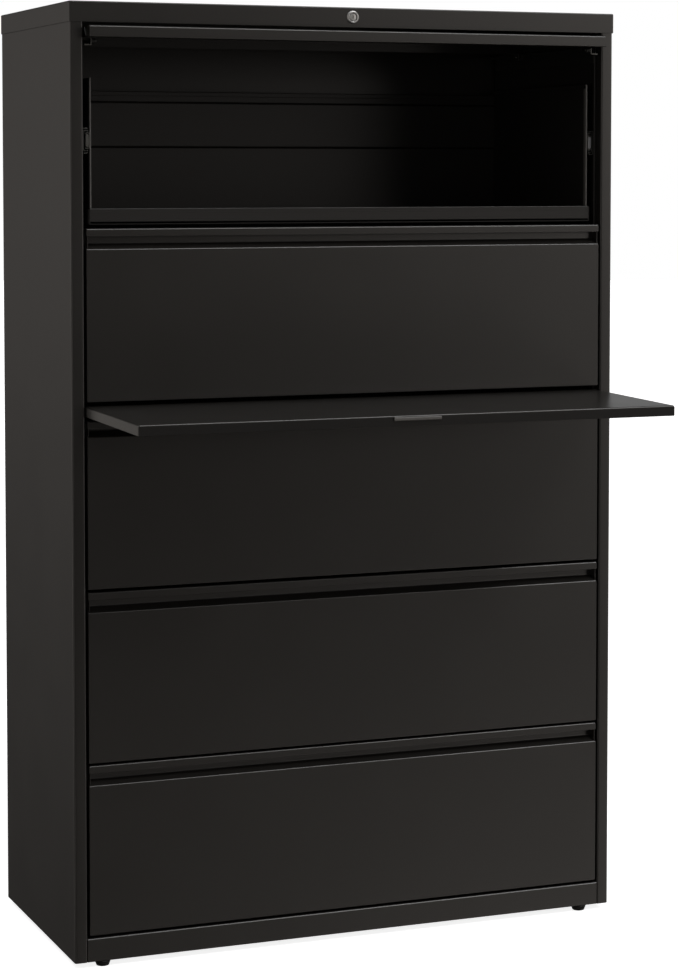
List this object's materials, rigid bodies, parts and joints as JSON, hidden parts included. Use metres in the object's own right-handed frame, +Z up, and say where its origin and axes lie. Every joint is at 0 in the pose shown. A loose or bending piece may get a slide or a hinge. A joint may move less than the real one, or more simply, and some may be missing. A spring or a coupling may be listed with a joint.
{
  "type": "lateral filing cabinet",
  "caption": "Wide steel filing cabinet with inset drawers, an open top compartment with roll-out tray and receding door, and a pull-out posting shelf.",
  "frame": {"origin": "on the floor, centre of the bounding box with the posting shelf pulled out", "axes": "+X to the cabinet's right seen from the front, +Y to its back, +Z up"},
  "size_m": [1.0668, 0.7753, 1.7177],
  "materials": {
    "case_paint": "charcoal powder coat, fine texture, satin",
    "front_paint": "charcoal powder coat, fine texture, satin",
    "inner_paint": "charcoal powder coat, thinner inside",
    "slide_zinc": "zinc plated",
    "lock_chrome": "polished chrome plate",
    "foot_plastic": "moulded black nylon",
    "ballast_iron": "raw, dark oxide"
  },
  "bodies": {
    "root": {"left_side_panel": "case_paint", "right_side_panel": "case_paint", "back_panel": "case_paint", "top_cap": "case_paint", "base_pan": "case_paint", "left_side_frame": "inner_paint", "right_side_frame": "inner_paint", "counterweight": "ballast_iron", "front_left_foot": "foot_plastic", "front_right_foot": "foot_plastic", "rear_left_foot": "foot_plastic", "rear_right_foot": "foot_plastic", "lock_housing": "lock_chrome", "left_door_track": "slide_zinc", "right_door_track": "slide_zinc", "left_shelf_runner": "slide_zinc", "right_shelf_runner": "slide_zinc", "drawer_1_left_slide_outer": "slide_zinc", "drawer_1_right_slide_outer": "slide_zinc", "drawer_2_left_slide_outer": "slide_zinc", "drawer_2_right_slide_outer": "slide_zinc", "drawer_3_left_slide_outer": "slide_zinc", "drawer_3_right_slide_outer": "slide_zinc", "drawer_4_left_slide_outer": "slide_zinc", "drawer_4_right_slide_outer": "slide_zinc", "tray_left_slide_outer": "slide_zinc", "tray_right_slide_outer": "slide_zinc"},
    "drawer_1": {"drawer_1_front": "front_paint", "drawer_1_box": "inner_paint", "drawer_1_left_slide_inner": "slide_zinc", "drawer_1_right_slide_inner": "slide_zinc"},
    "drawer_1_slide_middles": {"drawer_1_left_slide_middle": "slide_zinc", "drawer_1_right_slide_middle": "slide_zinc"},
    "drawer_2": {"drawer_2_front": "front_paint", "drawer_2_box": "inner_paint", "drawer_2_left_slide_inner": "slide_zinc", "drawer_2_right_slide_inner": "slide_zinc"},
    "drawer_2_slide_middles": {"drawer_2_left_slide_middle": "slide_zinc", "drawer_2_right_slide_middle": "slide_zinc"},
    "drawer_3": {"drawer_3_front": "front_paint", "drawer_3_box": "inner_paint", "drawer_3_left_slide_inner": "slide_zinc", "drawer_3_right_slide_inner": "slide_zinc"},
    "drawer_3_slide_middles": {"drawer_3_left_slide_middle": "slide_zinc", "drawer_3_right_slide_middle": "slide_zinc"},
    "drawer_4": {"drawer_4_front": "front_paint", "drawer_4_box": "inner_paint", "drawer_4_left_slide_inner": "slide_zinc", "drawer_4_right_slide_inner": "slide_zinc"},
    "drawer_4_slide_middles": {"drawer_4_left_slide_middle": "slide_zinc", "drawer_4_right_slide_middle": "slide_zinc"},
    "rollout_tray": {"rollout_tray": "inner_paint", "tray_left_slide_inner": "slide_zinc", "tray_right_slide_inner": "slide_zinc"},
    "tray_slide_middles": {"tray_left_slide_middle": "slide_zinc", "tray_right_slide_middle": "slide_zinc"},
    "posting_shelf": {"posting_shelf": "case_paint"},
    "door": {"door_panel": "front_paint"},
    "lock_plug": {"lock_plug": "lock_chrome"},
    "lock_bar": {"lock_bar": "slide_zinc"}
  },
  "joints": [
    {"name": "drawer_1_slide", "type": "slide", "parent": "root", "child": "drawer_1", "axis": [0, -1, 0], "range_m": [0, 0.4]},
    {"name": "drawer_1_middle_slide", "type": "slide", "parent": "root", "child": "drawer_1_slide_middles", "axis": [0, -1, 0], "range_m": [0, 0.2]},
    {"name": "drawer_2_slide", "type": "slide", "parent": "root", "child": "drawer_2", "axis": [0, -1, 0], "range_m": [0, 0.4]},
    {"name": "drawer_2_middle_slide", "type": "slide", "parent": "root", "child": "drawer_2_slide_middles", "axis": [0, -1, 0], "range_m": [0, 0.2]},
    {"name": "drawer_3_slide", "type": "slide", "parent": "root", "child": "drawer_3", "axis": [0, -1, 0], "range_m": [0, 0.4]},
    {"name": "drawer_3_middle_slide", "type": "slide", "parent": "root", "child": "drawer_3_slide_middles", "axis": [0, -1, 0], "range_m": [0, 0.2]},
    {"name": "drawer_4_slide", "type": "slide", "parent": "root", "child": "drawer_4", "axis": [0, -1, 0], "range_m": [0, 0.4]},
    {"name": "drawer_4_middle_slide", "type": "slide", "parent": "root", "child": "drawer_4_slide_middles", "axis": [0, -1, 0], "range_m": [0, 0.2]},
    {"name": "rollout_tray_slide", "type": "slide", "parent": "root", "child": "rollout_tray", "axis": [0, -1, 0], "range_m": [0, 0.4]},
    {"name": "tray_middle_slide", "type": "slide", "parent": "root", "child": "tray_slide_middles", "axis": [0, -1, 0], "range_m": [0, 0.2]},
    {"name": "posting_shelf_slide", "type": "slide", "parent": "root", "child": "posting_shelf", "axis": [0, -0.9998, -0.0175], "range_m": [-0.296, 0]},
    {"name": "door_slide", "type": "slide", "parent": "root", "child": "door", "axis": [0, -1, 0], "range_m": [0, 0.32]},
    {"name": "lock_turn", "type": "hinge", "parent": "root", "child": "lock_plug", "pos_m": [0, -0.08535, 1.7], "axis": [0, 1, 0], "range_deg": [0, 90]},
    {"name": "lock_bar_slide", "type": "slide", "parent": "root", "child": "lock_bar", "axis": [1, 0, 0], "range_m": [0, 0.0101]}
  ],
  "couplings": [
    {"joint": "drawer_1_middle_slide", "follows": "drawer_1_slide", "ratio": 0.5},
    {"joint": "drawer_2_middle_slide", "follows": "drawer_2_slide", "ratio": 0.5},
    {"joint": "drawer_3_middle_slide", "follows": "drawer_3_slide", "ratio": 0.5},
    {"joint": "drawer_4_middle_slide", "follows": "drawer_4_slide", "ratio": 0.5},
    {"joint": "tray_middle_slide", "follows": "rollout_tray_slide", "ratio": 0.5},
    {"joint": "lock_bar_slide", "follows": "lock_turn", "m_per_rad": 0.0064}
  ]
}
